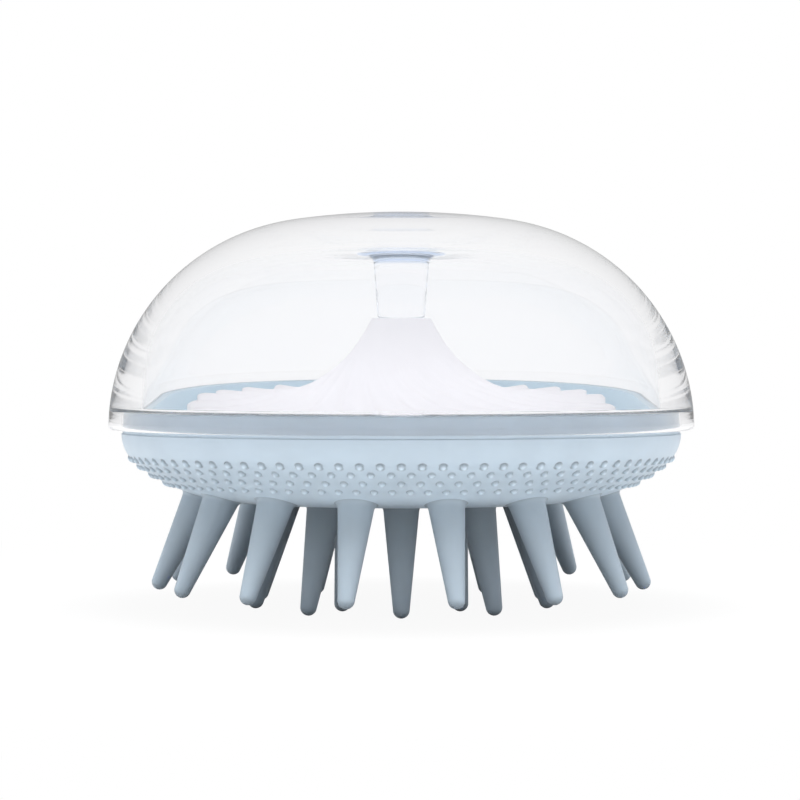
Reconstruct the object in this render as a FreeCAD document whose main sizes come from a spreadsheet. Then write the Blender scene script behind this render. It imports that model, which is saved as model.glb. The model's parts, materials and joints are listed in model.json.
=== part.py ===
import FreeCAD, Part
import math
import os
import re

import Sketcher

# Scalp massager: a clear dome grips over a soft silicone brush pad. Inside the dome a white cone
# with a pleated hem stands on a floor plate, under a clear post that hangs from the crown.
# Lengths are in millimetres and angles in degrees. Height is counted from the lowest bristle tips.

SIZES = [
    # Clear dome
    ("dome_radius", 45.0, "outside radius of the dome at its edge"),
    ("dome_edge_height", 27.0, "height of the dome's lower edge above the bristle tips"),
    ("dome_height", 33.4, "height of the dome from its lower edge to its crown"),
    ("dome_crown_curve", 119.0, "outside radius of curvature of the crown"),
    ("dome_edge_round", 0.8, "rounding of the lower outer edge"),
    ("rim_wall", 5.0, "wall of the dome at the floor"),
    ("cavity_straight", 2.6, "height of the straight foot of the hollow's wall, above the floor"),
    ("cavity_draft", 3.43, "inward lean of that foot"),
    ("cavity_wall_curve", 32.5, "radius of curvature of the hollow's wall above its foot"),
    ("cavity_wall_lean", 10.0, "inward lean of the wall where it turns into the shoulder"),
    ("crown_wall", 2.4, "wall at the middle of the crown"),
    ("cavity_crown_curve", 70.0, "radius of curvature of the hollow's top"),
    ("skirt_wall", 2.0, "wall around the recess that fits over the pad's collar"),
    ("skirt_depth", 2.7, "depth of that recess, up to the floor"),
    # Clear post that hangs from the crown
    ("post_root_radius", 4.35, "radius of the post at the crown"),
    ("post_tip_radius", 3.65, "radius of the post at its lower end"),
    ("post_flare", 2.2, "fillet between post and crown"),
    ("post_gap", 0.1, "gap between the post and the cone under it"),
    # White cone on the floor
    ("cone_top_radius", 4.6, "radius of the cone's flat top"),
    ("cone_height", 14.3, "height of the cone above the floor"),
    ("cone_knee_radius", 10.3, "radius where the flank turns into the skirt"),
    ("cone_knee_height", 1.0, "height of that turn above the floor"),
    ("cone_knee_curve", 13.8, "fillet of that turn"),
    ("hem_gap", 6.8, "gap between the skirt's hem and the dome's wall"),
    ("hem_thickness", 0.6, "thickness of the hem"),
    ("cone_wall", 1.2, "wall of the cone"),
    ("pleat_count", 27, "pleats around the hem"),
    ("pleat_radius", 3.4, "radius of the scallop between two pleats"),
    ("pleat_depth", 0.9, "depth of that scallop"),
    # Floor plate
    ("plate_thickness", 3.4, "thickness of the floor plate at its rim"),
    ("dish_depth", 1.4, "depth of the dish in the plate, whose bottom is the floor that the cone stands on"),
    ("dish_rim", 1.6, "width of the rim around the dish"),
    ("plate_wall", 2.0, "thickness of the wall under the plate"),
    ("plate_gap", 0.1, "gap between the plate and the pad around it"),
    ("locator_gap", 2.0, "gap between the cone's wall and the boss that centres it"),
    ("locator_height", 1.6, "height of that boss"),
    ("rib_thickness", 1.6, "thickness of the ribs under the plate"),
    ("rib_count", 6, "ribs under the plate"),
    # Silicone pad
    ("pad_inset", 2.0, "how far the pad's upper edge stands back from the dome's side"),
    ("pad_edge_gap", 0.45, "gap between the pad's upper edge and the dome's lower edge"),
    ("pad_depth", 10.45, "depth of the pad from its upper edge to its flat underside"),
    ("pad_edge_curve", 6.0, "outline radius below the upper edge"),
    ("pad_side_curve", 26.0, "outline radius between side and underside"),
    ("collar_gap", 0.2, "gap between the pad's collar and the dome"),
    ("collar_wall", 2.8, "wall of the collar around the plate"),
    ("pad_floor", 5.0, "silicone under the plate"),
    ("ledge_width", 3.8, "width of the ledge that carries the plate, around the pocket"),
    # Nubs around the pad
    ("nub_radius", 0.6, "radius of a nub"),
    ("nub_height", 0.45, "height of a nub above the pad"),
    ("nub_count", 90, "nubs in a row"),
    ("nub_rows", 4, "rows of nubs"),
    ("nub_row_1_inset", 1.45, "how far the upper row stands in from the pad's edge"),
    ("nub_row_2_inset", 2.75, "how far the second row stands in"),
    ("nub_row_3_inset", 4.55, "how far the third row stands in"),
    ("nub_row_4_inset", 6.7, "how far the lower row stands in"),
    # Bristles
    ("bristle_root_radius", 2.7, "radius of a bristle's root ball"),
    ("bristle_tip_radius", 1.225, "radius of a bristle's round tip"),
    ("root_gap", 0.1, "gap around a root ball in the pad"),
    ("root_proud", 1.4, "how far a root ball's middle stands below the pad's face"),
    ("outer_ring_inset", 11.5, "how far the outer ring's roots stand in from the pad's edge"),
    ("outer_ring_tilt", 25.5, "outward lean of the outer ring"),
    ("outer_tip_height", 2.57, "height of the outer ring's tips"),
    ("outer_count", 15, "bristles in the outer ring"),
    ("middle_ring_step", 11.9, "distance between the roots of the outer and middle rings"),
    ("middle_ring_tilt", 15.0, "outward lean of the middle ring"),
    ("middle_count", 10, "bristles in the middle ring"),
    ("inner_ring_step", 6.95, "distance between the roots of the middle and inner rings"),
    ("inner_ring_tilt", 9.9, "outward lean of the inner ring"),
    ("inner_count", 5, "bristles in the inner ring"),
]

# Sizes and heights that follow from the ones above
DERIVED = {
    "dome_crown_height": "dome_edge_height + dome_height",
    "cavity_radius": "dome_radius - rim_wall",
    "cavity_top": "dome_crown_height - crown_wall",
    "foot_top": "floor_height + cavity_straight",
    "foot_top_radius": "cavity_radius - cavity_straight * tan(cavity_draft)",
    "wall_centre": "foot_top_radius - cavity_wall_curve * cos(cavity_draft)",
    "wall_centre_height": "foot_top - cavity_wall_curve * sin(cavity_draft)",
    "wall_top": "wall_centre_height + cavity_wall_curve * sin(cavity_wall_lean)",
    "skirt_bore_radius": "dome_radius - skirt_wall",
    "floor_height": "dome_edge_height + skirt_depth",
    "dish_floor": "floor_height - dish_depth",
    "dish_radius": "seat_radius - plate_gap - dish_rim",
    "cone_top": "dish_floor + cone_height",
    "post_tip": "cone_top + post_gap",
    "post_end": "cavity_top + crown_wall / 2",
    "flare_radius": "post_root_radius + post_flare",
    "flare_top": "cavity_top - cavity_crown_curve + sqrt(cavity_crown_curve ^ 2 - flare_radius ^ 2)",
    "flare_foot": "flare_top - post_flare",
    "hem_radius": "cavity_radius - hem_gap",
    "scallop_place": "hem_radius - pleat_depth + pleat_radius",
    "locator_radius": "cone_knee_radius - cone_wall - locator_gap",
    "collar_radius": "skirt_bore_radius - collar_gap",
    "seat_radius": "collar_radius - collar_wall",
    "ledge_height": "floor_height - plate_thickness",
    "pocket_radius": "seat_radius - ledge_width",
    "pocket_floor": "pad_bottom_height + pad_floor",
    "plate_side": "pocket_radius - plate_gap",
    "pad_radius": "dome_radius - pad_inset",
    "pad_edge_height": "dome_edge_height - pad_edge_gap",
    "pad_bottom_height": "pad_edge_height - pad_depth",
    "pad_edge_centre": "pad_radius - pad_edge_curve",
    "pad_side_centre": "pad_bottom_height + pad_side_curve",
    "outer_ring_radius": "pad_radius - outer_ring_inset",
    "middle_ring_radius": "outer_ring_radius - middle_ring_step",
    "inner_ring_radius": "middle_ring_radius - inner_ring_step",
}
ALIASES = {alias for alias, value, meaning in SIZES}

doc = FreeCAD.newDocument("scalp_massager")
sheet = doc.addObject("Spreadsheet::Sheet", "sizes")
for row, (alias, value, meaning) in enumerate(SIZES, start=1):
    sheet.set(f"A{row}", alias)
    sheet.set(f"B{row}", str(value))
    sheet.setAlias(f"B{row}", alias)
    sheet.set(f"C{row}", meaning)
doc.recompute()


def in_cells(expression):
    """An expression in plain names, written out in the cells of the sheet."""
    def cell(match):
        name = match.group()
        if name in DERIVED:
            return f"({in_cells(DERIVED[name])})"
        return f"sizes.{name}" if name in ALIASES else name

    return re.sub(r"[a-z_]\w*", cell, expression)


def size(expression):
    """Value of an expression in plain names."""
    return float(sheet.evalExpression(in_cells(expression)))


def bind(thing, prop, expression):
    """Tie a property to the sheet by an expression in plain names."""
    thing.setExpression(prop, in_cells(expression))


def origin_feature(body, role):
    return next(f for f in body.Origin.OriginFeatures if f.Role == role)


def new_body(label):
    body = doc.addObject("PartDesign::Body", label)
    body.Label = label
    return body


class Outline:
    """A closed outline in the upright plane, radius across and height up, bound to the sheet."""

    def __init__(self, body, name):
        self.sketch = body.newObject("Sketcher::SketchObject", name)
        self.sketch.AttachmentSupport = [(origin_feature(body, "XZ_Plane"), "")]
        self.sketch.MapMode = "FlatFace"
        self.first = None
        self.last = None

    def constrain(self, *constraint):
        return self.sketch.addConstraint(Sketcher.Constraint(*constraint))

    def place(self, geometry, end, radius, height):
        """Fix an end of a line or an arc, or an arc's centre, at a radius and a height."""
        if radius == "axis":
            self.constrain("PointOnObject", geometry, end, -2)
        elif radius is not None:
            index = self.constrain("DistanceX", -1, 1, geometry, end, size(radius))
            bind(self.sketch, f"Constraints[{index}]", radius)
        if height is not None:
            index = self.constrain("DistanceY", -1, 1, geometry, end, size(height))
            bind(self.sketch, f"Constraints[{index}]", height)

    def link(self, geometry, smooth):
        """Join the start of a stretch to the end of the one before it."""
        if self.first is None:
            self.first = geometry
        elif smooth:
            self.constrain("Tangent", self.last[0], self.last[1], geometry[0], geometry[1])
        else:
            self.constrain("Coincident", self.last[0], self.last[1], geometry[0], geometry[1])

    def line(self, start, finish, smooth=False):
        index = self.sketch.addGeometry(Part.LineSegment(start, finish), False)
        self.link((index, 1), smooth)
        self.last = (index, 2)
        return index

    def arc(self, centre, start, finish, smooth=False):
        """An arc about a centre. It runs clockwise where the start is at the greater angle."""
        radius = start.distanceToPoint(centre)
        angles = [math.atan2(p.y - centre.y, p.x - centre.x) for p in (start, finish)]
        circle = Part.Circle(centre, FreeCAD.Vector(0, 0, 1), radius)
        index = self.sketch.addGeometry(Part.ArcOfCircle(circle, min(angles), max(angles)), False)
        ends = (1, 2) if angles[0] < angles[1] else (2, 1)
        self.link((index, ends[0]), smooth)
        self.last = (index, ends[1])
        return index

    def radius(self, geometry, expression):
        index = self.constrain("Radius", geometry, size(expression))
        bind(self.sketch, f"Constraints[{index}]", expression)

    def close(self):
        self.constrain("Coincident", self.last[0], self.last[1], self.first[0], self.first[1])
        doc.recompute()
        return self.sketch

    def runs(self, start, places):
        """Straight runs from a point through a list of (radius, height) expressions."""
        for radius, height in places:
            finish = FreeCAD.Vector(0 if radius == "axis" else size(radius), size(height), 0)
            self.place(self.line(start, finish), 2, radius, height)
            start = finish
        return start

    def corners(self, places):
        """A closed outline of straight runs. The first place is on the axis."""
        start = FreeCAD.Vector(0, size(places[0][1]), 0)
        self.runs(start, places[1:] + places[:1])
        return self.close()


def arch(outline, radius, foot, top, curve):
    """A crown arc from the axis and a shoulder arc that comes down upright at the foot."""
    a, z0, z1, rc = (size(e) for e in (radius, foot, top, curve))
    rise = z0 - (z1 - rc)
    shoulder = (rc**2 - a**2 - rise**2) / (2 * (rc - a))
    lean = math.atan2(a - shoulder, rise)
    crown_centre = FreeCAD.Vector(0, z1 - rc, 0)
    shoulder_centre = FreeCAD.Vector(a - shoulder, z0, 0)
    meeting = crown_centre + FreeCAD.Vector(math.sin(lean), math.cos(lean), 0) * rc
    crown = outline.arc(crown_centre, FreeCAD.Vector(0, z1, 0), meeting)
    outline.place(crown, 3, "axis", None)
    outline.place(crown, 2, "axis", top)
    outline.radius(crown, curve)
    flank = outline.arc(shoulder_centre, meeting, FreeCAD.Vector(a, z0, 0), smooth=True)
    outline.place(flank, 3, None, foot)
    outline.place(flank, 1, radius, foot)


def turn(body, kind, sketch):
    """Turn an outline about the upright axis, adding or cutting."""
    before = body.Shape.Volume if body.Tip and body.Tip.isDerivedFrom("PartDesign::Feature") else 0
    feature = body.newObject(f"PartDesign::{kind}", f"{sketch.Name}_{kind}")
    feature.Profile = sketch
    feature.ReferenceAxis = (sketch, ["V_Axis"])
    feature.Angle = 360
    doc.recompute()
    grew = body.Shape.Volume > before
    if grew != (kind == "Revolution"):
        raise RuntimeError(f"{feature.Name} changed the volume the wrong way")
    return feature


def solid(body, kind, name, place, sizes):
    """A primitive of a body, at a place from the body's origin, with its sizes bound to the sheet."""
    feature = body.newObject(f"PartDesign::{kind}", name)
    feature.AttachmentSupport = [(origin_feature(body, "XY_Plane"), "")]
    feature.MapMode = "FlatFace"
    feature.AttachmentOffset = FreeCAD.Placement(place, FreeCAD.Rotation())
    for prop, expression in sizes.items():
        bind(feature, prop, expression)
    doc.recompute()
    return feature


def repeat(body, features, count):
    """Repeat features evenly around the upright axis."""
    pattern = body.newObject("PartDesign::PolarPattern", f"{features[0].Name}_ring")
    pattern.Originals = features
    pattern.Axis = (origin_feature(body, "Z_Axis"), [""])
    pattern.Angle = 360
    bind(pattern, "Occurrences", count)
    body.Tip = pattern
    doc.recompute()
    return pattern


def round_edge(body, name, radius, height, fillet):
    """Round the circular edge that lies nearest to a radius and a height."""
    def distance(item):
        edge = item[1]
        if edge.Degenerated or not isinstance(edge.Curve, Part.Circle):
            return math.inf
        return abs(edge.Curve.Radius - radius) + abs(edge.Curve.Center.z - height)

    base = body.Tip
    nearest = min(enumerate(base.Shape.Edges, start=1), key=distance)[0]
    feature = body.newObject("PartDesign::Fillet", name)
    feature.Base = (base, [f"Edge{nearest}"])
    bind(feature, "Radius", fillet)
    body.Tip = feature
    doc.recompute()


def around(radius, angle, height):
    """A point at a radius and a height, at an angle from the front, counted to the right."""
    turned = math.radians(angle)
    return FreeCAD.Vector(radius * math.sin(turned), -radius * math.cos(turned), height)


# Clear dome, moulded in one piece with its post
dome = new_body("dome_shell")
outside = Outline(dome, "dome_outside")
arch(outside, "dome_radius", "dome_edge_height", "dome_crown_height", "dome_crown_curve")
edge_point = FreeCAD.Vector(size("dome_radius"), size("dome_edge_height"), 0)
middle_point = FreeCAD.Vector(0, edge_point.y, 0)
outside.line(edge_point, middle_point)
outside.place(outside.last[0], 2, "axis", "dome_edge_height")
outside.line(middle_point, FreeCAD.Vector(0, size("dome_crown_height"), 0))
turn(dome, "Revolution", outside.close())

# The hollow has a straight foot, a slow curve up the wall, a tighter shoulder and the crown
wall_lean = math.radians(size("cavity_wall_lean"))
wall_centre = FreeCAD.Vector(size("wall_centre"), size("wall_centre_height"), 0)
crown_centre = FreeCAD.Vector(0, size("cavity_top - cavity_crown_curve"), 0)
top_point = FreeCAD.Vector(0, size("cavity_top"), 0)
way = FreeCAD.Vector(math.cos(wall_lean), math.sin(wall_lean), 0)
between = wall_centre - crown_centre
step = size("cavity_crown_curve - cavity_wall_curve")
shoulder_centre = wall_centre + way * ((between.Length**2 - step**2) / (2 * (step - between.dot(way))))
crown_way = (shoulder_centre - crown_centre).normalize()
crown_end = crown_centre + crown_way * size("cavity_crown_curve")
shoulder_end = wall_centre + way * size("cavity_wall_curve")
foot_point = FreeCAD.Vector(size("foot_top_radius"), size("foot_top"), 0)
floor_point = FreeCAD.Vector(size("cavity_radius"), size("floor_height"), 0)
axis_point = FreeCAD.Vector(0, floor_point.y, 0)

inside = Outline(dome, "dome_hollow")
crown = inside.arc(crown_centre, top_point, crown_end)
inside.place(crown, 3, "axis", None)
inside.place(crown, 2, "axis", "cavity_top")
inside.radius(crown, "cavity_crown_curve")
inside.arc(shoulder_centre, crown_end, shoulder_end, smooth=True)
wall = inside.arc(wall_centre, shoulder_end, foot_point, smooth=True)
inside.place(wall, 3, "wall_centre", "wall_centre_height")
inside.radius(wall, "cavity_wall_curve")
inside.place(wall, 2, None, "wall_top")
inside.line(foot_point, floor_point, smooth=True)
inside.place(inside.last[0], 2, "cavity_radius", "floor_height")
inside.line(floor_point, axis_point)
inside.place(inside.last[0], 2, "axis", "floor_height")
inside.line(axis_point, top_point)
turn(dome, "Groove", inside.close())

recess = Outline(dome, "dome_recess")
recess.corners([
    ("axis", "dome_edge_height"),
    ("skirt_bore_radius", "dome_edge_height"),
    ("skirt_bore_radius", "floor_height"),
    ("axis", "floor_height"),
])
turn(dome, "Groove", recess.sketch)
round_edge(dome, "dome_edge", size("dome_radius"), size("dome_edge_height"), "dome_edge_round")

# The post widens in a hollow curve where it meets the crown
flare_foot = FreeCAD.Vector(size("post_root_radius"), size("flare_foot"), 0)
flare_centre = FreeCAD.Vector(size("flare_radius"), flare_foot.y, 0)
flare_top = FreeCAD.Vector(flare_centre.x, size("flare_top"), 0)
post_tip = FreeCAD.Vector(0, size("post_tip"), 0)
post = Outline(dome, "post_outline")
post.runs(post_tip, [
    ("post_tip_radius", "post_tip"),
    ("post_root_radius", "flare_foot"),
])
post.place(0, 1, "axis", "post_tip")
flare = post.arc(flare_centre, flare_foot, flare_top)
post.place(flare, 3, "flare_radius", "flare_foot")
post.place(flare, 1, "flare_radius", None)
post_end = post.runs(flare_top, [
    ("flare_radius", "post_end"),
    ("axis", "post_end"),
])
post.line(post_end, post_tip)
turn(dome, "Revolution", post.close())

# White cone with a flat skirt and a scalloped hem
cone = new_body("mountain_cone")
cone_outline = Outline(cone, "cone_outline")
cone_outline.corners([
    ("axis", "cone_top"),
    ("cone_top_radius", "cone_top"),
    ("cone_knee_radius", "dish_floor + cone_knee_height"),
    ("hem_radius", "dish_floor + hem_thickness"),
    ("hem_radius", "dish_floor"),
    ("cone_knee_radius - cone_wall", "dish_floor"),
    ("cone_top_radius - cone_wall", "cone_top - cone_wall"),
    ("axis", "cone_top - cone_wall"),
])
turn(cone, "Revolution", cone_outline.sketch)
knee_height = size("dish_floor + cone_knee_height")
round_edge(cone, "cone_knee", size("cone_knee_radius"), knee_height, "cone_knee_curve")
scallop_place = around(size("scallop_place"), 0, size("dish_floor"))
scallop = solid(cone, "SubtractiveCylinder", "scallop", scallop_place, {
    "Radius": "pleat_radius",
    "Height": "cone_height",
    "AttachmentOffset.Base.y": "-scallop_place",
    "AttachmentOffset.Base.z": "dish_floor",
})
repeat(cone, [scallop], "pleat_count")

# Floor plate: a flanged, dished disc with a boss for the cone, and a wall and ribs that stand in the pad
plate = new_body("floor_plate")
plate_outline = Outline(plate, "plate_outline")
plate_outline.corners([
    ("axis", "dish_floor + locator_height"),
    ("locator_radius", "dish_floor + locator_height"),
    ("locator_radius", "dish_floor"),
    ("dish_radius", "dish_floor"),
    ("dish_radius", "floor_height"),
    ("seat_radius - plate_gap", "floor_height"),
    ("seat_radius - plate_gap", "ledge_height"),
    ("plate_side", "ledge_height"),
    ("plate_side", "pocket_floor"),
    ("plate_side - plate_wall", "pocket_floor"),
    ("plate_side - plate_wall", "ledge_height"),
    ("axis", "ledge_height"),
])
turn(plate, "Revolution", plate_outline.sketch)
rib_place = FreeCAD.Vector(0, -size("rib_thickness") / 2, size("pocket_floor"))
rib = solid(plate, "AdditiveBox", "rib", rib_place, {
    "Length": "plate_side - plate_wall / 2",
    "Width": "rib_thickness",
    "Height": "ledge_height - pocket_floor",
    "AttachmentOffset.Base.y": "-rib_thickness / 2",
    "AttachmentOffset.Base.z": "pocket_floor",
})
repeat(plate, [rib], "rib_count")

# Silicone pad: a bowl with a collar that plugs into the dome
pad = new_body("brush_pad")
curve_step = size("pad_side_curve - pad_edge_curve")
curve_drop = size("pad_side_centre - pad_edge_height")
edge_centre = FreeCAD.Vector(size("pad_edge_centre"), size("pad_edge_height"), 0)
side_reach = math.sqrt(curve_step**2 - curve_drop**2)
side_centre = FreeCAD.Vector(edge_centre.x - side_reach, size("pad_side_centre"), 0)
curves_meet = side_centre + (edge_centre - side_centre) * (size("pad_side_curve") / curve_step)
bottom_middle = FreeCAD.Vector(0, size("pad_bottom_height"), 0)
bottom_side = FreeCAD.Vector(side_centre.x, bottom_middle.y, 0)
pad_edge = FreeCAD.Vector(size("pad_radius"), edge_centre.y, 0)

bowl = Outline(pad, "pad_outline")
underside = bowl.line(bottom_middle, bottom_side)
bowl.place(underside, 1, "axis", "pad_bottom_height")
bowl.constrain("Horizontal", underside)
side = bowl.arc(side_centre, bottom_side, curves_meet, smooth=True)
bowl.radius(side, "pad_side_curve")
edge = bowl.arc(edge_centre, curves_meet, pad_edge, smooth=True)
bowl.place(edge, 3, "pad_edge_centre", "pad_edge_height")
bowl.place(edge, 2, None, "pad_edge_height")
upper_places = [
    ("collar_radius", "pad_edge_height"),
    ("collar_radius", "floor_height"),
    ("seat_radius", "floor_height"),
    ("seat_radius", "ledge_height"),
    ("pocket_radius", "ledge_height"),
    ("pocket_radius", "pocket_floor"),
    ("axis", "pocket_floor"),
]
bowl.line(bowl.runs(pad_edge, upper_places), bottom_middle)
turn(pad, "Revolution", bowl.close())


def pad_skin(radius):
    """Height of the pad's outer face at a radius, and the lean of its outward normal from down."""
    if radius <= side_centre.x:
        return bottom_middle.y, 0.0
    centre, curve = side_centre, size("pad_side_curve")
    if radius > curves_meet.x:
        centre, curve = edge_centre, size("pad_edge_curve")
    across = radius - centre.x
    return centre.y - math.sqrt(curve**2 - across**2), math.asin(across / curve)


def ring_angles(count, offset):
    """Angles from the front of evenly spaced places, the first one a share of a step round."""
    return [(number + offset) * 360 / count for number in range(count)]


def root_height(radius):
    """Height of the middle of a bristle's root ball at a radius."""
    return pad_skin(radius)[0] - size("root_proud")


# Rings of bristles: sheet prefix, height of the tips, and the share of a step that the first
# bristle stands round from the front
straddle_share = 0.5
centred_share = 0.0
RINGS = [
    ("outer", "outer_tip_height", straddle_share),
    ("middle", None, centred_share),
    ("inner", None, straddle_share),
]

for ring, tip_height, offset in RINGS:
    ring_radius = size(f"{ring}_ring_radius")
    first_angle = ring_angles(int(size(f"{ring}_count")), offset)[0]
    root = around(ring_radius, first_angle, root_height(ring_radius))
    socket = solid(pad, "SubtractiveSphere", f"{ring}_socket", root, {
        "Radius": "bristle_root_radius + root_gap",
    })
    repeat(pad, [socket], f"{ring}_count")


def nub_row(label, row_radius, offset):
    """A row of low round nubs, each with its flat base on the pad's outer face."""
    skin_height, lean = pad_skin(row_radius)
    radius = size("nub_radius")
    sunk = size("nub_radius - nub_height")
    base_latitude = math.degrees(math.asin(sunk / radius))
    caps = []
    for angle in ring_angles(int(size("nub_count")), offset):
        centre = around(row_radius - sunk * math.sin(lean), angle, skin_height + sunk * math.cos(lean))
        normal = around(math.sin(lean), angle, -math.cos(lean))
        caps.append(Part.makeSphere(radius, centre, normal, base_latitude, 90, 360))
    row = doc.addObject("Part::Feature", label)
    row.Label = label
    row.Shape = Part.makeCompound(caps)
    row.Placement = FreeCAD.Placement()
    return row


# Four rows of nubs, alternate rows half a step round
nub_rows = []
for number in range(1, int(size("nub_rows")) + 1):
    stagger_share = centred_share if number % 2 else straddle_share
    row_radius = size(f"pad_radius - nub_row_{number}_inset")
    nub_rows.append(nub_row(f"nub_row_{number}", row_radius, stagger_share))


def bristle(label, length, place):
    """A tapered bristle with a ball at its root and a round tip, turned about its own axis."""
    body = new_body(label)
    root = size("bristle_root_radius")
    tip = size("bristle_tip_radius")
    taper = math.asin((root - tip) / length)
    flank = FreeCAD.Vector(math.cos(taper), -math.sin(taper), 0)
    tip_centre = FreeCAD.Vector(0, -length, 0)
    outline = Outline(body, f"{label}_outline")
    ball = outline.arc(FreeCAD.Vector(), FreeCAD.Vector(0, root, 0), flank * root)
    outline.constrain("Coincident", ball, 3, -1, 1)
    outline.place(ball, 2, "axis", None)
    outline.radius(ball, "bristle_root_radius")
    outline.line(flank * root, tip_centre + flank * tip, smooth=True)
    tip_end = tip_centre - FreeCAD.Vector(0, tip, 0)
    end = outline.arc(tip_centre, tip_centre + flank * tip, tip_end, smooth=True)
    outline.place(end, 3, "axis", None)
    outline.constrain("DistanceY", end, 3, -1, 1, length)
    outline.place(end, 1, "axis", None)
    outline.radius(end, "bristle_tip_radius")
    outline.line(tip_end, FreeCAD.Vector(0, root, 0))
    turn(body, "Revolution", outline.close())
    body.Placement = place
    return body


bristles = []
for ring, tip_height, offset in RINGS:
    ring_radius = size(f"{ring}_ring_radius")
    tilt = size(f"{ring}_ring_tilt")
    root_level = root_height(ring_radius)
    tip_level = size("bristle_tip_radius") + (size(tip_height) if tip_height else 0)
    length = (root_level - tip_level) / math.cos(math.radians(tilt))
    for number, angle in enumerate(ring_angles(int(size(f"{ring}_count")), offset), start=1):
        outward = FreeCAD.Rotation(FreeCAD.Vector(0, 0, 1), angle)
        leaning = FreeCAD.Rotation(FreeCAD.Vector(1, 0, 0), -tilt)
        place = FreeCAD.Placement(around(ring_radius, angle, root_level), outward * leaning)
        bristles.append(bristle(f"bristle_{ring}_{number:02d}", length, place))

doc.recompute()
pieces = [dome, cone, plate, pad] + nub_rows + bristles
for thing in doc.Objects:
    if "Invalid" in thing.State or "Error" in thing.State:
        raise RuntimeError(f"{thing.Label} failed: {thing.State}")
for piece in pieces:
    solids = int(size("nub_count")) if piece in nub_rows else 1
    if piece.Shape.isNull() or not piece.Shape.isValid() or len(piece.Shape.Solids) != solids:
        raise RuntimeError(f"{piece.Label} is not valid, or not {solids} solid")

os.makedirs("parts", exist_ok=True)
for piece in pieces:
    piece.Shape.exportStep(f"parts/{piece.Label}.step")
    box = piece.Shape.BoundBox
    print(f"{piece.Label}: {piece.Shape.Volume:.1f} mm3, height {box.ZMin:.2f} to {box.ZMax:.2f}")
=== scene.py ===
import json
import math

import bmesh
import bpy
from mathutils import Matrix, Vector


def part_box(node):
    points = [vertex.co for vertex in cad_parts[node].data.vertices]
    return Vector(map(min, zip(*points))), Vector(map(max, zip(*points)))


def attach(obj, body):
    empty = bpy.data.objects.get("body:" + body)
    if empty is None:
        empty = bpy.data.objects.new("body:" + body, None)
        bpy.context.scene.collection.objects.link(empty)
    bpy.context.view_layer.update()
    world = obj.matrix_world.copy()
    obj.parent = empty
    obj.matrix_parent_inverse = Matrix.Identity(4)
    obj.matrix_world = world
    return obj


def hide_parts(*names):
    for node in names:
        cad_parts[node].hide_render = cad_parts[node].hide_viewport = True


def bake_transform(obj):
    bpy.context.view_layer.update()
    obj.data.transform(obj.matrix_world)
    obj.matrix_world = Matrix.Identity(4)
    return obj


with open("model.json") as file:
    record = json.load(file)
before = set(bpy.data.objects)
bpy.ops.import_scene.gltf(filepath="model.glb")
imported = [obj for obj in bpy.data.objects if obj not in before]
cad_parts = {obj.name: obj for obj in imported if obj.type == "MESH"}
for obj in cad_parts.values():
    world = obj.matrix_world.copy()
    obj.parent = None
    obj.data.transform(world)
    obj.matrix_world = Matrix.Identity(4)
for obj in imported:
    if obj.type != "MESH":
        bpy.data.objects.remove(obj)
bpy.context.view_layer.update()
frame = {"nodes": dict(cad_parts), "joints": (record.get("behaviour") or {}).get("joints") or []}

# Silicone pad
# The soft light-blue bowl that carries everything, moulded in silicone with a collar above its edge.
# The dome's rim grips the collar, and the floor plate sits on the ledge inside it.
pad_low, pad_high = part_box("brush_pad")
pad_radius = pad_high.x
pad_bottom = pad_low.z
collar_top = pad_high.z
pad_edge_drop = 0.00315
pad_edge = collar_top - pad_edge_drop
pad_edge_curve = 0.0060
pad_side_curve = 0.0260
pad_lip_round = 0.0002
collar_step = 0.0002
collar_wall = 0.0028
collar_round = 0.0004
ledge_depth = 0.0034
ledge_width = 0.0038
pad_floor_thickness = 0.0050
collar_radius = pad_radius - collar_step
seat_radius = collar_radius - collar_wall
ledge_height = collar_top - ledge_depth
pocket_radius = seat_radius - ledge_width
pocket_floor = pad_bottom + pad_floor_thickness
pad_turns = 360

edge_centre_radius = pad_radius - pad_edge_curve
side_centre_height = pad_bottom + pad_side_curve
curve_step = pad_side_curve - pad_edge_curve
side_centre_radius = edge_centre_radius - math.sqrt(curve_step**2 - (side_centre_height - pad_edge) ** 2)
side_end_turn = math.atan2(edge_centre_radius - side_centre_radius, side_centre_height - pad_edge)


def bend(centre, radius, start, end, steps):
    """Points of an arc in radius and height. Turns are counted from straight down, outwards."""
    points = []
    for step in range(steps + 1):
        turn = start + (end - start) * step / steps
        points.append((centre[0] + radius * math.sin(turn), centre[1] - radius * math.cos(turn)))
    return points


def new_piece(name, shape, finish):
    """A piece of the object from a bmesh, with its normals outwards and one finish."""
    bmesh.ops.recalc_face_normals(shape, faces=shape.faces)
    for face in shape.faces:
        face.smooth = True
    mesh = bpy.data.meshes.new(name)
    shape.to_mesh(mesh)
    shape.free()
    mesh.materials.append(finish)
    piece = bpy.data.objects.new(name, mesh)
    bpy.context.scene.collection.objects.link(piece)
    return piece


def ring_faces(shape, lower, upper):
    """Faces between two rings of vertices. A ring of one vertex is a pole."""
    count = max(len(lower), len(upper))
    for index in range(count):
        after = (index + 1) % count
        corners = [lower[index % len(lower)], lower[after % len(lower)]]
        corners += [upper[after % len(upper)], upper[index % len(upper)]]
        shape.faces.new(list(dict.fromkeys(corners)))


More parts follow.
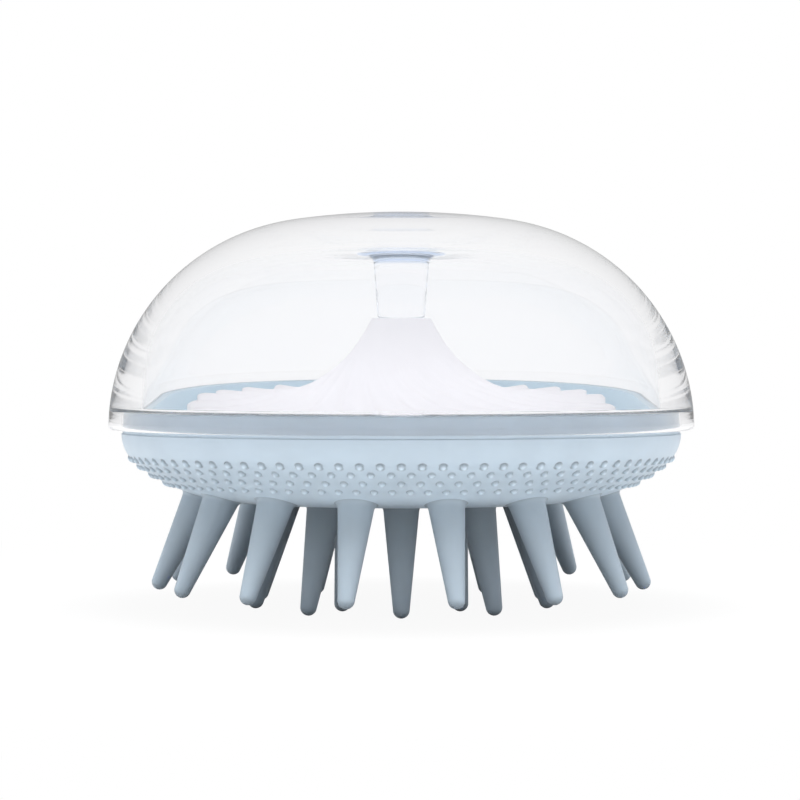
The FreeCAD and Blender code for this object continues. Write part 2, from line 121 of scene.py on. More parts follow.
def turned(outline, turns, corner_angle=math.radians(30)):
    """A closed outline of (radius, height) points turned about the upright axis, with crisp corners."""
    shape = bmesh.new()
    rings = []
    for radius, height in outline:
        if radius < 1e-9:
            rings.append([shape.verts.new((0, 0, height))])
            continue
        ring = []
        for turn in range(turns):
            angle = 2 * math.pi * turn / turns
            ring.append(shape.verts.new((radius * math.cos(angle), radius * math.sin(angle), height)))
        rings.append(ring)
    for lower, upper in zip(rings, rings[1:]):
        ring_faces(shape, lower, upper)
    for before, ring, after in zip(rings, rings[1:], rings[2:]):
        incoming = Vector(ring[0].co - before[0].co)
        outgoing = Vector(after[0].co - ring[0].co)
        if incoming.angle(outgoing) > corner_angle:
            for vertex, following in zip(ring, ring[1:] + ring[:1]):
                shape.edges.get((vertex, following)).smooth = False
    return shape


def silicone_finish(name, shade, low, low_painted_light, high, high_painted_light):
    """Matte silicone with soft patches, a fine grain and a slight glow, with painted light and shade that
    change with height, and painted shade and highlight read from the nubs' attribute.
    """
    finish = bpy.data.materials.new(name)
    finish.use_nodes = True
    nodes = finish.node_tree.nodes
    links = finish.node_tree.links
    surface = nodes["Principled BSDF"]
    surface.inputs["IOR"].default_value = 1.41
    surface.inputs["Subsurface Weight"].default_value = 0.12
    surface.inputs["Subsurface Radius"].default_value = (0.8, 1.0, 1.2)
    surface.inputs["Subsurface Scale"].default_value = 0.0012
    surface.inputs["Sheen Weight"].default_value = 0.08
    surface.inputs["Sheen Roughness"].default_value = 0.5
    place = nodes.new("ShaderNodeTexCoord")
    patches = nodes.new("ShaderNodeTexNoise")
    patches.inputs["Scale"].default_value = 160
    patches.inputs["Detail"].default_value = 3
    tint = nodes.new("ShaderNodeValToRGB")
    tint.color_ramp.elements[0].position = 0.3
    tint.color_ramp.elements[0].color = (*[channel * 0.965 for channel in shade], 1)
    tint.color_ramp.elements[1].position = 0.7
    tint.color_ramp.elements[1].color = (*[channel * 1.03 for channel in shade], 1)
    grain = nodes.new("ShaderNodeTexNoise")
    grain.inputs["Scale"].default_value = 5200
    grain.inputs["Detail"].default_value = 2
    gloss = nodes.new("ShaderNodeMapRange")
    gloss.inputs["To Min"].default_value = 0.42
    gloss.inputs["To Max"].default_value = 0.56
    relief = nodes.new("ShaderNodeBump")
    relief.inputs["Strength"].default_value = 0.06
    relief.inputs["Distance"].default_value = 0.00004
    links.new(place.outputs["Object"], patches.inputs["Vector"])
    links.new(place.outputs["Object"], grain.inputs["Vector"])
    links.new(patches.outputs["Fac"], tint.inputs["Fac"])
    # Painted light and shade by height: the colour is scaled from one tone at a low height to another at a
    # high height.
    height = nodes.new("ShaderNodeSeparateXYZ")
    links.new(place.outputs["Object"], height.inputs["Vector"])
    rise = nodes.new("ShaderNodeMapRange")
    rise.interpolation_type = "SMOOTHSTEP"
    rise.inputs["From Min"].default_value = low
    rise.inputs["From Max"].default_value = high
    rise.inputs["To Min"].default_value = low_painted_light
    rise.inputs["To Max"].default_value = high_painted_light
    links.new(height.outputs["Z"], rise.inputs["Value"])
    # Painted shade and highlight on the nubs: a vertex attribute darkens each nub towards its edge and
    # lightens its centre.
    rim = nodes.new("ShaderNodeAttribute")
    rim.attribute_name = "nub_painted_shade_and_highlight"
    nub_painted_tone = nodes.new("ShaderNodeMapRange")
    nub_painted_tone.clamp = False
    nub_painted_tone.inputs["To Min"].default_value = 1.04
    nub_painted_tone.inputs["To Max"].default_value = 0.55
    links.new(rim.outputs["Fac"], nub_painted_tone.inputs["Value"])
    # Both painted tones multiply the colour.
    tone = nodes.new("ShaderNodeMath")
    tone.operation = "MULTIPLY"
    links.new(rise.outputs["Result"], tone.inputs[0])
    links.new(nub_painted_tone.outputs["Result"], tone.inputs[1])
    painted_light_scale = nodes.new("ShaderNodeVectorMath")
    painted_light_scale.operation = "SCALE"
    links.new(tint.outputs["Color"], painted_light_scale.inputs[0])
    links.new(tone.outputs[0], painted_light_scale.inputs["Scale"])
    links.new(painted_light_scale.outputs["Vector"], surface.inputs["Base Color"])
    links.new(grain.outputs["Fac"], gloss.inputs["Value"])
    links.new(gloss.outputs["Result"], surface.inputs["Roughness"])
    links.new(grain.outputs["Fac"], relief.inputs["Height"])
    links.new(relief.outputs["Normal"], surface.inputs["Normal"])
    return finish


pad_shade = (0.50, 0.60, 0.68)
# Painted light from below: the pad is 1.3 times lighter at its bottom, fading to its own colour 5 mm up.
painted_underside_light_top = pad_bottom + 0.005
pad_silicone = silicone_finish("light_blue_silicone", pad_shade, pad_bottom, 1.3, painted_underside_light_top, 1.0)
pad_outline = [(0, pad_bottom)]
pad_outline += bend((side_centre_radius, side_centre_height), pad_side_curve, 0, side_end_turn, 40)
pad_outline += bend((edge_centre_radius, pad_edge), pad_edge_curve, side_end_turn, math.pi / 2, 24)[1:-1]
lip_centre = (pad_radius - pad_lip_round, pad_edge - pad_lip_round)
collar_centre = (collar_radius - collar_round, collar_top - collar_round)
pad_outline += bend(lip_centre, pad_lip_round, math.pi / 2, math.pi, 6)
pad_outline += bend(collar_centre, collar_round, math.pi / 2, math.pi, 6)
pad_outline += [
    (seat_radius, collar_top),
    (seat_radius, ledge_height),
    (pocket_radius, ledge_height),
    (pocket_radius, pocket_floor),
    (0, pocket_floor),
]
pad = new_piece("silicone_pad", turned(pad_outline, pad_turns), pad_silicone)
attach(pad, "base")
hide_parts("brush_pad")


# Nub rows
# Four rows of small round nubs that rub the scalp's edge, moulded with the pad in the same silicone.
# Alternate rows stand half a step round, and each nub runs into the pad in a small hollow curve.
# Each nub carries painted shade round its edge, darker on its upper side, and a painted highlight at its
# centre.
nub_radius = 0.0006
nub_height = 0.00045
nub_foot = 0.00072
nub_count = 90
nub_turns = 20
nub_sink = 0.00012
# Strength of the painted highlight at each nub's centre.
nub_painted_highlight = 0.5
nub_row_insets = (0.00145, 0.00275, 0.00455, 0.0067)


def pad_face(radius):
    """Height of the pad's outer face at a radius, and the lean of its outward normal from straight down."""
    if radius <= side_centre_radius:
        return pad_bottom, 0.0
    lean = math.asin(min(1.0, (radius - side_centre_radius) / pad_side_curve))
    if lean <= side_end_turn:
        return side_centre_height - pad_side_curve * math.cos(lean), lean
    lean = math.asin(min(1.0, (radius - edge_centre_radius) / pad_edge_curve))
    return pad_edge - pad_edge_curve * math.cos(lean), lean


def around(radius, angle, height):
    """A point at an angle from the front, counted to the right."""
    return Vector((radius * math.sin(angle), -radius * math.cos(angle), height))


def hollow_curve(start, corner, end, steps):
    """Points of a soft curve from one point to another, drawn towards a corner."""
    points = []
    for step in range(steps + 1):
        share = step / steps
        points.append(start * (1 - share) ** 2 + corner * 2 * share * (1 - share) + end * share**2)
    return points


cap_centre = nub_height - nub_radius
cap_start = math.radians(12)
cap_edge = Vector((nub_radius * math.cos(cap_start), cap_centre + nub_radius * math.sin(cap_start)))
nub_outline = [Vector((nub_foot, -nub_sink))]
nub_outline += hollow_curve(Vector((nub_foot, -0.00001)), Vector((nub_radius * 1.02, 0)), cap_edge, 4)
for step in range(1, 6):
    rise = cap_start + (math.pi / 2 - cap_start) * step / 5
    nub_outline.append(Vector((nub_radius * math.cos(rise), cap_centre + nub_radius * math.sin(rise))))

for row, inset in enumerate(nub_row_insets, start=1):
    row_radius = pad_radius - inset
    row_height, row_lean = pad_face(row_radius)
    half_step = 0.0 if row % 2 else 0.5
    shape = bmesh.new()
    nub_painted_shade_and_highlight = shape.verts.layers.float.new("nub_painted_shade_and_highlight")
    for number in range(nub_count):
        angle = (number + half_step) * 2 * math.pi / nub_count
        foot = around(row_radius, angle, row_height)
        normal = around(math.sin(row_lean), angle, -math.cos(row_lean))
        sideways = Vector((math.cos(angle), math.sin(angle), 0))
        upwards = normal.cross(sideways)
        rings = []
        for across, out in nub_outline[:-1]:
            ring = []
            for turn in range(nub_turns):
                round_turn = 2 * math.pi * turn / nub_turns
                spoke = sideways * math.cos(round_turn) + upwards * math.sin(round_turn)
                vertex = shape.verts.new(foot + spoke * across + normal * out)
                # Painted shade towards the nub's edge, darker on its upper side, and a painted highlight at
                # its centre.
                edge_share = min(1.0, across / nub_radius)
                vertex[nub_painted_shade_and_highlight] = edge_share**2 * (0.82 + 0.18 * spoke.z) - nub_painted_highlight * (1 - edge_share)
                ring.append(vertex)
            rings.append(ring)
        tip = shape.verts.new(foot + normal * nub_outline[-1].y)
        tip[nub_painted_shade_and_highlight] = -nub_painted_highlight
        rings.append([tip])
        for lower, upper in zip(rings, rings[1:]):
            ring_faces(shape, lower, upper)
        shape.faces.new(rings[0])
    nubs = new_piece(f"silicone_nubs_{row}", shape, pad_silicone)
    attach(nubs, "base")
    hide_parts(f"nub_row_{row}")


# Bristles
# Soft tapered fingers with round tips, moulded with the pad, in three rings that lean outwards.
# Each one grows out of the pad in a hollow curve, where the real bristle bends when pressed; here it is
# built straight.
bristle_root_radius = 0.0027
bristle_tip_radius = 0.001225
bristle_root_curve = 0.0006
bristle_root_rise = 0.0008
bristle_sink = 0.0004
bristle_turns = 40
bristle_leans = {"outer": math.radians(25.5), "middle": math.radians(15), "inner": math.radians(9.9)}
bristle_tip_heights = {"outer": 0.00257, "middle": 0.0, "inner": 0.0}
root_search = (-0.006, 0.004)

bristle_shade = (0.48, 0.575, 0.65)
# Painted shade under the pad: each ring gets its own copy of the silicone, darkened from full colour at the
# table towards the roots, to 0.8 on the outer ring and 0.5 on the middle and inner rings at 18 mm up.
bristle_painted_root_shades = {"outer": 0.8, "middle": 0.5, "inner": 0.5}
painted_root_shade_height = 0.018
bristle_silicone_painted_root_shade = {}
for ring_name, painted_root_shade in bristle_painted_root_shades.items():
    finish_name = f"{ring_name}_bristle_silicone_painted_root_shade"
    bristle_silicone_painted_root_shade[ring_name] = silicone_finish(
        finish_name, bristle_shade, 0.0, 1.0, painted_root_shade_height, painted_root_shade
    )
bristle_joints = [joint for joint in frame["joints"] if joint["name"].startswith("bristle_")]
for joint in bristle_joints:
    node = joint["child"]
    ring_name = node.split("_")[1]
    lean = bristle_leans[ring_name]
    pivot = Vector(joint["pos_m"])
    angle = math.atan2(pivot.x, -pivot.y)
    along = around(math.sin(lean), angle, -math.cos(lean))
    sideways = Vector((math.cos(angle), math.sin(angle), 0))
    outwards = along.cross(sideways)
    tip_level = bristle_tip_heights[ring_name] + bristle_tip_radius
    length = (pivot.z - tip_level) / math.cos(lean)
    face_height = pad_face(math.hypot(pivot.x, pivot.y))[0]
    root_start = (pivot.z - face_height) / math.cos(lean)
    taper = (bristle_root_radius - bristle_tip_radius) / (length - root_start)

    def flank(spoke, distance):
        """A point of the straight flank, at a distance from the pivot towards the tip."""
        width = bristle_root_radius - taper * (distance - root_start)
        return pivot + along * distance + spoke * width

    spokes = []
    for turn in range(bristle_turns):
        round_turn = 2 * math.pi * turn / bristle_turns
        spokes.append(sideways * math.cos(round_turn) + outwards * math.sin(round_turn))

    columns = []
    for spoke in spokes:
        low, high = root_search
        for attempt in range(30):
            middle = (low + high) / 2
            point = flank(spoke, middle)
            inside_pad = point.z > pad_face(math.hypot(point.x, point.y))[0]
            low, high = (middle, high) if inside_pad else (low, middle)
        foot = flank(spoke, low)
        level_spoke = Vector((spoke.x, spoke.y, 0))
        level_spoke.normalize()
        edge = foot + level_spoke * bristle_root_curve
        edge.z = pad_face(math.hypot(edge.x, edge.y))[0] + 0.00002
        root_end = low + bristle_root_rise
        column = [edge + Vector((0, 0, bristle_sink))]
        column += hollow_curve(edge, foot, flank(spoke, root_end), 6)
        for step in range(1, 11):
            column.append(flank(spoke, root_end + (length - root_end) * step / 10))
        for step in range(1, 7):
            rise = math.pi / 2 * step / 7
            column.append(
                pivot
                + along * (length + bristle_tip_radius * math.sin(rise))
                + spoke * (bristle_tip_radius * math.cos(rise))
            )
        columns.append(column)

    shape = bmesh.new()
    rings = [[shape.verts.new(point) for point in ring] for ring in zip(*columns)]
    rings.append([shape.verts.new(pivot + along * (length + bristle_tip_radius))])
    for lower, upper in zip(rings, rings[1:]):
        ring_faces(shape, lower, upper)
    shape.faces.new(rings[0])
    soft_bristle = new_piece(f"silicone_{node}", shape, bristle_silicone_painted_root_shade[ring_name])
    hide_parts(node)
    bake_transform(soft_bristle)


# Floor plate
# A satin light-blue plastic disc that closes the pad from above, pressed onto the ledge inside the collar.
# Its dished upper face is the floor that shows through the dome.
def satin_finish(name, dark, light, cloud_size, grain_size, gloss, specular, grain_strength):
    """Satin plastic with soft clouds of tone between two colours and a fine moulded grain."""
    finish = bpy.data.materials.new(name)
    finish.use_nodes = True
    nodes = finish.node_tree.nodes
    links = finish.node_tree.links
    surface = nodes["Principled BSDF"]
    surface.inputs["Specular IOR Level"].default_value = specular
    place = nodes.new("ShaderNodeTexCoord")
    cloud = nodes.new("ShaderNodeTexNoise")
    cloud.inputs["Scale"].default_value = cloud_size
    tint = nodes.new("ShaderNodeValToRGB")
    tint.color_ramp.elements[0].color = (*dark, 1)
    tint.color_ramp.elements[1].color = (*light, 1)
    grain = nodes.new("ShaderNodeTexNoise")
    grain.inputs["Scale"].default_value = grain_size
    dullness = nodes.new("ShaderNodeMapRange")
    dullness.inputs["To Min"].default_value = gloss[0]
    dullness.inputs["To Max"].default_value = gloss[1]
    relief = nodes.new("ShaderNodeBump")
    relief.inputs["Strength"].default_value = grain_strength
    relief.inputs["Distance"].default_value = 0.00003
    links.new(place.outputs["Object"], cloud.inputs["Vector"])
    links.new(place.outputs["Object"], grain.inputs["Vector"])
    links.new(cloud.outputs["Fac"], tint.inputs["Fac"])
    links.new(tint.outputs["Color"], surface.inputs["Base Color"])
    links.new(grain.outputs["Fac"], dullness.inputs["Value"])
    links.new(dullness.outputs["Result"], surface.inputs["Roughness"])
    links.new(grain.outputs["Fac"], relief.inputs["Height"])
    links.new(relief.outputs["Normal"], surface.inputs["Normal"])
    return finish


plate_finish = satin_finish(
    "light_blue_plate",
    dark=(0.69, 0.82, 0.89),
    light=(0.74, 0.87, 0.93),
    cloud_size=90,
    grain_size=4200,
    gloss=(0.62, 0.75),
    specular=0.08,
    grain_strength=0.05,
)
plate = frame["nodes"]["floor_plate"]
plate.data.materials.clear()
plate.data.materials.append(plate_finish)


# White cone
# A small snowy mountain in satin white plastic, moulded thin, with a skirt that spreads in swirled folds.
# It stands in the floor plate's dish around a low boss, with its flat top under the dome's post.
cone_low, cone_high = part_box("mountain_cone")
dish_floor = cone_low.z
cone_top_height = cone_high.z
cone_top_radius = 0.0046
cone_top_round = 0.00015
hem_radius = 0.0332
hem_thickness = 0.00015
pleat_count = 27
pleat_turns = 16
pleat_height = 0.0012
hem_fall = 0.25
hem_fall_start = 0.94
pleat_scallop = 0.0018
fold_start_radius = 0.0080
swirl = math.radians(33.333)
cone_wall = 0.0012
cone_foot_radius = 0.0091
cone_spread = 0.0058


def cone_height(radius):
    """Height of the unfolded cone above the dish: a steep flank that eases into a flat skirt."""
    fall = math.exp(-(radius - cone_top_radius) / cone_spread)
    return hem_thickness + (cone_top_height - dish_floor - hem_thickness) * fall


def fold(radius, angle):
    """Lift of the swirled folds, from 0 in a valley to 1 on a crest."""
    out = max(0.0, (radius - fold_start_radius) / (hem_radius - fold_start_radius))
    phase = pleat_count * (angle - swirl * (1 - (1 - min(1.0, out)) ** 3))
    return 1 - abs(math.sin(phase / 2))


def fold_strength(radius, angle):
    """How high the folds stand at a radius, a little uneven around the hem."""
    out = max(0.0, (radius - fold_start_radius) / (hem_radius - fold_start_radius))
    uneven = 1 + 0.10 * math.sin(3 * angle + 1.0) + 0.06 * math.sin(7 * angle + 0.4)
    turned_down = hem_fall * max(0.0, (out - hem_fall_start) / (1 - hem_fall_start)) ** 2
    return pleat_height * uneven * out**0.9 * (1 - turned_down)


white_finish = satin_finish(
    "satin_white_plastic",
    dark=(0.865, 0.86, 0.865),
    light=(0.915, 0.91, 0.912),
    cloud_size=120,
    grain_size=3600,
    gloss=(0.4, 0.55),
    specular=0.2,
    grain_strength=0.04,
)
cone_turns = pleat_count * pleat_turns
cone_angles = [2 * math.pi * turn / cone_turns for turn in range(cone_turns)]
shape = bmesh.new()
flat_radius = cone_top_radius - cone_top_round
cone_rings = [[shape.verts.new((0, 0, cone_top_height))]]
cone_rings.append([shape.verts.new(around(flat_radius, angle, cone_top_height)) for angle in cone_angles])
skirt_steps = 64
for step in range(skirt_steps + 1):
    share = step / skirt_steps
    radius = cone_top_radius + (hem_radius - cone_top_radius) * share
    ring = []
    for angle in cone_angles:
        lift = fold(radius, angle)
        drawn_in = pleat_scallop * (1 - lift) * share**4
        height = dish_floor + cone_height(radius) + fold_strength(radius, angle) * lift
        if step == 0:
            height -= cone_top_round
        ring.append(shape.verts.new(around(radius - drawn_in, angle, height)))
    cone_rings.append(ring)
for radius, height in (
    (None, dish_floor),
    (cone_foot_radius, dish_floor),
    (cone_top_radius - cone_wall, cone_top_height - cone_wall),
):
    ring = []
    for vertex, angle in zip(cone_rings[skirt_steps + 2], cone_angles):
        reach = math.hypot(vertex.co.x, vertex.co.y) if radius is None else radius
        ring.append(shape.verts.new(around(reach, angle, height)))
    cone_rings.append(ring)
cone_rings.append([shape.verts.new((0, 0, cone_top_height - cone_wall))])
for lower, upper in zip(cone_rings, cone_rings[1:]):
    ring_faces(shape, lower, upper)
cone = new_piece("white_mountain", shape, white_finish)
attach(cone, "base")
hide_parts("mountain_cone")


# Clear dome
# A thick clear plastic cap, moulded in one piece with the post that hangs from its crown over the cone.
# Its wall is thinner at the crown than at the rim, and a recess in the rim grips the pad's collar.
dome_low, dome_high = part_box("dome_shell")
dome_radius = 0.045
dome_edge = dome_low.z
dome_crown = dome_high.z
recess_height = 0.0027
floor_height = dome_edge + recess_height
dome_crown_curve = 0.119
dome_edge_round = 0.0008
cavity_radius = dome_radius - 0.005
cavity_edge_round = 0.0004
loop_gap = 0.00003
cavity_straight = 0.0026
cavity_draft = math.radians(3.43)
cavity_wall_curve = 0.0325
cavity_wall_lean = math.radians(10)
cavity_top = dome_crown - 0.0024
cavity_crown_curve = 0.070
skirt_bore = dome_radius - 0.002
post_root_radius = 0.00435
post_tip_radius = 0.00365
post_tip = cone_top_height + 0.0001
post_flare = 0.0030
post_tip_round = 0.0003
dome_turns = 384


def arch(radius, foot, top, curve, steps):
    """Points of a crown arc from the axis and a shoulder arc that comes down upright at the foot."""
    rise = foot - (top - curve)
    shoulder = (curve**2 - radius**2 - rise**2) / (2 * (curve - radius))
    meeting = math.pi - math.atan2(radius - shoulder, rise)
    points = bend((0, top - curve), curve, math.pi, meeting, steps)
    return points + bend((radius - shoulder, foot), shoulder, meeting, math.pi / 2, steps)[1:]


clear_finish = bpy.data.materials.new("clear_plastic")
clear_finish.use_nodes = True
clear_nodes = clear_finish.node_tree.nodes
clear_links = clear_finish.node_tree.links
clear_surface = clear_nodes["Principled BSDF"]
clear_surface.inputs["Transmission Weight"].default_value = 1.0
clear_surface.inputs["IOR"].default_value = 1.49
clear_place = clear_nodes.new("ShaderNodeTexCoord")
clear_cloud = clear_nodes.new("ShaderNodeTexNoise")
clear_cloud.inputs["Scale"].default_value = 40
clear_tint = clear_nodes.new("ShaderNodeValToRGB")
clear_tint.color_ramp.elements[0].color = (0.982, 0.985, 1.0, 1)
clear_tint.color_ramp.elements[1].color = (0.992, 0.994, 1.0, 1)
clear_gloss = clear_nodes.new("ShaderNodeMapRange")
clear_gloss.inputs["To Min"].default_value = 0.0
clear_gloss.inputs["To Max"].default_value = 0.012
clear_links.new(clear_place.outputs["Object"], clear_cloud.inputs["Vector"])
clear_links.new(clear_cloud.outputs["Fac"], clear_tint.inputs["Fac"])
clear_axes = clear_nodes.new("ShaderNodeSeparateXYZ")
clear_links.new(clear_place.outputs["Object"], clear_axes.inputs["Vector"])
clear_across = clear_nodes.new("ShaderNodeVectorMath")
clear_across.operation = "MULTIPLY"
clear_across.inputs[1].default_value = (1, 1, 0)
clear_links.new(clear_place.outputs["Object"], clear_across.inputs[0])
clear_reach = clear_nodes.new("ShaderNodeVectorMath")
clear_reach.operation = "LENGTH"
clear_links.new(clear_across.outputs["Vector"], clear_reach.inputs[0])
# Painted reflection: where the post flares into the crown, the clear plastic is tinted blue, standing in
# for the blue pad seen in the flare.
flare_rise = clear_nodes.new("ShaderNodeMapRange")
flare_rise.interpolation_type = "SMOOTHSTEP"
flare_rise.inputs["From Min"].default_value = cavity_top - post_flare - 0.0006
flare_rise.inputs["From Max"].default_value = cavity_top - post_flare + 0.0004
clear_links.new(clear_axes.outputs["Z"], flare_rise.inputs["Value"])
flare_reach = clear_nodes.new("ShaderNodeMapRange")
flare_reach.interpolation_type = "SMOOTHSTEP"
flare_reach.inputs["From Min"].default_value = post_root_radius + post_flare
flare_reach.inputs["From Max"].default_value = post_root_radius + post_flare - 0.0008
clear_links.new(clear_reach.outputs["Value"], flare_reach.inputs["Value"])
painted_flare_reflection_mask = clear_nodes.new("ShaderNodeMath")
painted_flare_reflection_mask.operation = "MULTIPLY"
clear_links.new(flare_rise.outputs["Result"], painted_flare_reflection_mask.inputs[0])
clear_links.new(flare_reach.outputs["Result"], painted_flare_reflection_mask.inputs[1])
painted_flare_reflection = clear_nodes.new("ShaderNodeMix")
painted_flare_reflection.data_type = "RGBA"
painted_flare_reflection.inputs[7].default_value = (0.52, 0.66, 0.90, 1)
clear_links.new(painted_flare_reflection_mask.outputs[0], painted_flare_reflection.inputs[0])
clear_links.new(clear_tint.outputs["Color"], painted_flare_reflection.inputs[6])
clear_links.new(painted_flare_reflection.outputs[2], clear_surface.inputs["Base Color"])
clear_links.new(clear_cloud.outputs["Fac"], clear_gloss.inputs["Value"])
clear_links.new(clear_gloss.outputs["Result"], clear_surface.inputs["Roughness"])

dome_outline = arch(dome_radius, dome_edge, dome_crown, dome_crown_curve, 72)
dome_outline = [point for point in dome_outline if point[1] > dome_edge + dome_edge_round]
dome_outline += bend(
    (dome_radius - dome_edge_round, dome_edge + dome_edge_round), dome_edge_round, math.pi / 2, 0, 8
)
dome_outline += [
    (skirt_bore, dome_edge),
    (skirt_bore, floor_height),
]
cavity_edge = (cavity_radius + cavity_edge_round, floor_height + cavity_edge_round)
dome_outline += bend(cavity_edge, cavity_edge_round, 0, -math.pi / 2, 6)
foot_lean = math.tan(cavity_draft)
foot_top = Vector((cavity_radius - cavity_straight * foot_lean, floor_height + cavity_straight))
for rise in (cavity_edge_round + loop_gap, cavity_edge_round + 2 * loop_gap, cavity_straight - loop_gap):
    dome_outline.append((cavity_radius - rise * foot_lean, floor_height + rise))
wall_centre = foot_top - cavity_wall_curve * Vector((math.cos(cavity_draft), math.sin(cavity_draft)))
crown_centre = Vector((0, cavity_top - cavity_crown_curve))
wall_way = Vector((math.cos(cavity_wall_lean), math.sin(cavity_wall_lean)))
between = wall_centre - crown_centre
curve_gap = cavity_crown_curve - cavity_wall_curve
shoulder_shift = (between.length_squared - curve_gap**2) / (2 * (curve_gap - between.dot(wall_way)))
shoulder_centre = wall_centre + wall_way * shoulder_shift
crown_way = shoulder_centre - crown_centre
crown_end = math.pi - math.atan2(crown_way.x, crown_way.y)
wall_end = math.pi / 2 + cavity_wall_lean
flare_radius = post_root_radius + post_flare
flare_top = cavity_top - cavity_crown_curve + math.sqrt(cavity_crown_curve**2 - flare_radius**2)
flare_start = math.pi - math.asin(flare_radius / cavity_crown_curve)
dome_outline += bend(wall_centre, cavity_wall_curve, math.pi / 2 + cavity_draft, wall_end, 16)
dome_outline += bend(shoulder_centre, cavity_wall_curve - shoulder_shift, wall_end, crown_end, 64)[1:]
dome_outline += bend(crown_centre, cavity_crown_curve, crown_end, flare_start, 32)[1:-1]
dome_outline += bend((flare_radius, flare_top - post_flare), post_flare, math.pi, 1.5 * math.pi, 16)
dome_outline += bend(
    (post_tip_radius - post_tip_round, post_tip + post_tip_round), post_tip_round, math.pi / 2, 0, 5
)
dome_outline.append((0, post_tip))
dome = new_piece("clear_dome", turned(dome_outline, dome_turns), clear_finish)
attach(dome, "dome")
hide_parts("dome_shell")


# Studio
# A white table without an edge, soft light from above and in front, and a level camera.
# The table and the room read as white to the camera, and through the dome, and keep the shadow.
scene = bpy.context.scene
scene.view_settings.view_transform = "Standard"
scene.cycles.max_bounces = 32
scene.cycles.transmission_bounces = 32
scene.cycles.glossy_bounces = 32


def arithmetic(nodes, links, operation, first, second):
    """The output of a sum of two values, each a socket or a number."""
    node = nodes.new("ShaderNodeMath")
    node.operation = operation
    for socket, value in zip(node.inputs, (first, second)):
        if isinstance(value, (int, float)):
            socket.default_value = value
        else:
            links.new(value, socket)
    return node.outputs[0]


def seen_share(nodes, links):
    """1 for camera and glass rays, less for mirror rays, and 0 for those that light a matte surface."""
    path = nodes.new("ShaderNodeLightPath")
    mirrored = arithmetic(nodes, links, "MULTIPLY", path.outputs["Is Glossy Ray"], mirror_share)
    through = path.outputs["Is Transmission Ray"]
    direct = arithmetic(nodes, links, "MAXIMUM", path.outputs["Is Camera Ray"], through)
    seen = arithmetic(nodes, links, "MAXIMUM", direct, mirrored)
    lighting = arithmetic(nodes, links, "GREATER_THAN", path.outputs["Diffuse Depth"], 0.5)
    showing = arithmetic(nodes, links, "SUBTRACT", 1, lighting)
    return arithmetic(nodes, links, "MULTIPLY", seen, showing)


mirror_share = 0.45
shadow_share = 0.06
shadow_reach = 0.16
table_half = 3.0
table_mesh = bpy.data.meshes.new("table")
table_corners = [(x * table_half, y * table_half, 0) for x, y in ((-1, -1), (1, -1), (1, 1), (-1, 1))]
table_mesh.from_pydata(table_corners, [], [(0, 1, 2, 3)])
table = bpy.data.objects.new("table", table_mesh)
scene.collection.objects.link(table)
table.location.z = -0.00005
table_finish = bpy.data.materials.new("white_table")
table_finish.use_nodes = True
table_nodes = table_finish.node_tree.nodes
table_links = table_finish.node_tree.links
table_nodes.remove(table_nodes["Principled BSDF"])
table_matte = table_nodes.new("ShaderNodeBsdfDiffuse")
# Painted contact shadow: the table's matte colour is dark grey within about 35 mm of the centre, under the
# object, and pale beyond about 60 mm.
table_painted_contact_shadow = table_nodes.new("ShaderNodeValToRGB")
table_painted_contact_shadow.color_ramp.interpolation = "EASE"
table_painted_contact_shadow.color_ramp.elements[0].position = 0.22
table_painted_contact_shadow.color_ramp.elements[0].color = (0.12, 0.12, 0.12, 1)
table_painted_contact_shadow.color_ramp.elements[1].position = 0.38
table_painted_contact_shadow.color_ramp.elements[1].color = (0.85, 0.85, 0.85, 1)
table_links.new(table_painted_contact_shadow.outputs["Color"], table_matte.inputs["Color"])
table_white = table_nodes.new("ShaderNodeEmission")
table_mix = table_nodes.new("ShaderNodeMixShader")
table_place = table_nodes.new("ShaderNodeTexCoord")
table_distance = table_nodes.new("ShaderNodeVectorMath")
table_distance.operation = "LENGTH"
table_links.new(table_place.outputs["Object"], table_distance.inputs[0])
table_reach = arithmetic(table_nodes, table_links, "DIVIDE", table_distance.outputs["Value"], shadow_reach)
table_links.new(table_reach, table_painted_contact_shadow.inputs["Fac"])
table_fade = table_nodes.new("ShaderNodeMapRange")
table_fade.interpolation_type = "SMOOTHSTEP"
table_fade.inputs["From Max"].default_value = shadow_reach
table_fade.inputs["To Min"].default_value = 1 - shadow_share
table_links.new(table_distance.outputs["Value"], table_fade.inputs["Value"])
table_seen = seen_share(table_nodes, table_links)
table_share = arithmetic(table_nodes, table_links, "MULTIPLY", table_seen, table_fade.outputs["Result"])
table_links.new(table_share, table_mix.inputs["Fac"])
table_links.new(table_matte.outputs[0], table_mix.inputs[1])
table_links.new(table_white.outputs[0], table_mix.inputs[2])
table_links.new(table_mix.outputs[0], table_nodes["Material Output"].inputs["Surface"])
table_mesh.materials.append(table_finish)

room_strength = 0.52
side_strength = 0.24
inside_lift = 1.8
level_share = 0.3
overhead_share = 1.1
room = bpy.data.worlds.new("white_room")
scene.world = room
room.use_nodes = True
room_nodes = room.node_tree.nodes
room_links = room.node_tree.links
room_light = room_nodes["Background"]
room_light.inputs["Color"].default_value = (0.98, 0.97, 1.0, 1)
room_place = room_nodes.new("ShaderNodeTexCoord")
room_axes = room_nodes.new("ShaderNodeSeparateXYZ")
room_links.new(room_place.outputs["Generated"], room_axes.inputs["Vector"])
room_side = arithmetic(room_nodes, room_links, "ABSOLUTE", room_axes.outputs["X"], 0)
room_sides = arithmetic(room_nodes, room_links, "MULTIPLY", room_side, side_strength)
room_level = arithmetic(room_nodes, room_links, "ADD", room_sides, room_strength)
room_path = room_nodes.new("ShaderNodeLightPath")
room_rise = arithmetic(room_nodes, room_links, "MULTIPLY", room_axes.outputs["Z"], overhead_share)
room_height = arithmetic(room_nodes, room_links, "ADD", room_rise, level_share)
inside_high = arithmetic(room_nodes, room_links, "MULTIPLY", room_height, inside_lift)
room_through = room_path.outputs["Is Transmission Ray"]
inside_extra = arithmetic(room_nodes, room_links, "MULTIPLY", room_through, inside_high)
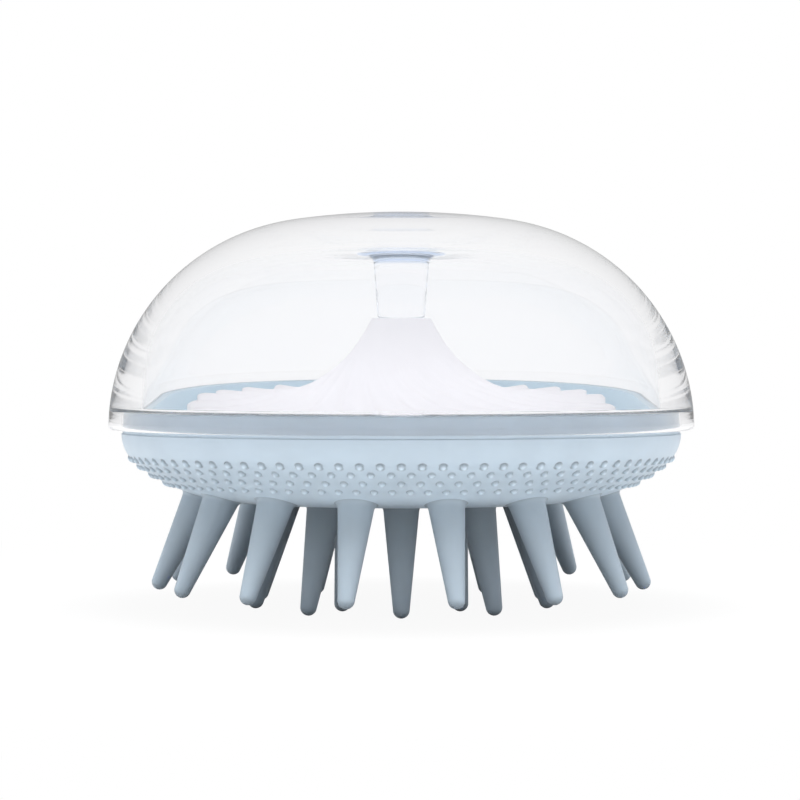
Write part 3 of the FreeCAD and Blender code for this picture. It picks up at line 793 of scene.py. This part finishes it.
inside_share = arithmetic(room_nodes, room_links, "ADD", inside_extra, 1)
room_mirrored = room_path.outputs["Is Glossy Ray"]
mirror_ray = arithmetic(room_nodes, room_links, "GREATER_THAN", room_mirrored, room_through)
matte_ray = arithmetic(room_nodes, room_links, "SUBTRACT", 1, mirror_ray)
matte_level = arithmetic(room_nodes, room_links, "MULTIPLY", room_level, matte_ray)
room_total = arithmetic(room_nodes, room_links, "MULTIPLY", matte_level, inside_share)
room_links.new(room_total, room_light.inputs["Strength"])
room_white = room_nodes.new("ShaderNodeBackground")
room_white.inputs["Color"].default_value = (1, 1, 1, 1)
room_mix = room_nodes.new("ShaderNodeMixShader")
room_links.new(seen_share(room_nodes, room_links), room_mix.inputs["Fac"])
room_links.new(room_light.outputs[0], room_mix.inputs[1])
room_links.new(room_white.outputs[0], room_mix.inputs[2])
room_links.new(room_mix.outputs[0], room_nodes["World Output"].inputs["Surface"])


def soft_box(name, place, aim, width, height, power, colour):
    """A soft studio lamp that shines from a place towards a point."""
    lamp = bpy.data.lights.new(name, "AREA")
    lamp.shape = "RECTANGLE"
    lamp.size = width
    lamp.size_y = height
    lamp.energy = power
    lamp.color = colour
    holder = bpy.data.objects.new(name, lamp)
    scene.collection.objects.link(holder)
    holder.location = place
    holder.rotation_euler = (Vector(aim) - Vector(place)).to_track_quat("-Z", "Y").to_euler()
    holder.visible_glossy = False
    holder.visible_transmission = False
    return holder


object_middle = (0, 0, 0.03)
soft_box("overhead_soft_box", (0, -0.1, 0.75), object_middle, 0.9, 0.9, 10.0, (1.0, 1.0, 1.0))

camera_lens = bpy.data.cameras.new("camera")
camera = bpy.data.objects.new("camera", camera_lens)
scene.collection.objects.link(camera)
scene.camera = camera
image_size = 800
eye_height = 0.0354
eye_distance = 0.3865
camera_lens.sensor_width = 36
camera_lens.lens = 112.5
camera_lens.clip_start = 0.01
camera_lens.shift_x = -1.3 / image_size
camera_lens.shift_y = -25 / image_size
camera.location = (0, -eye_distance, eye_height)
camera.rotation_euler = (math.pi / 2, 0, 0)
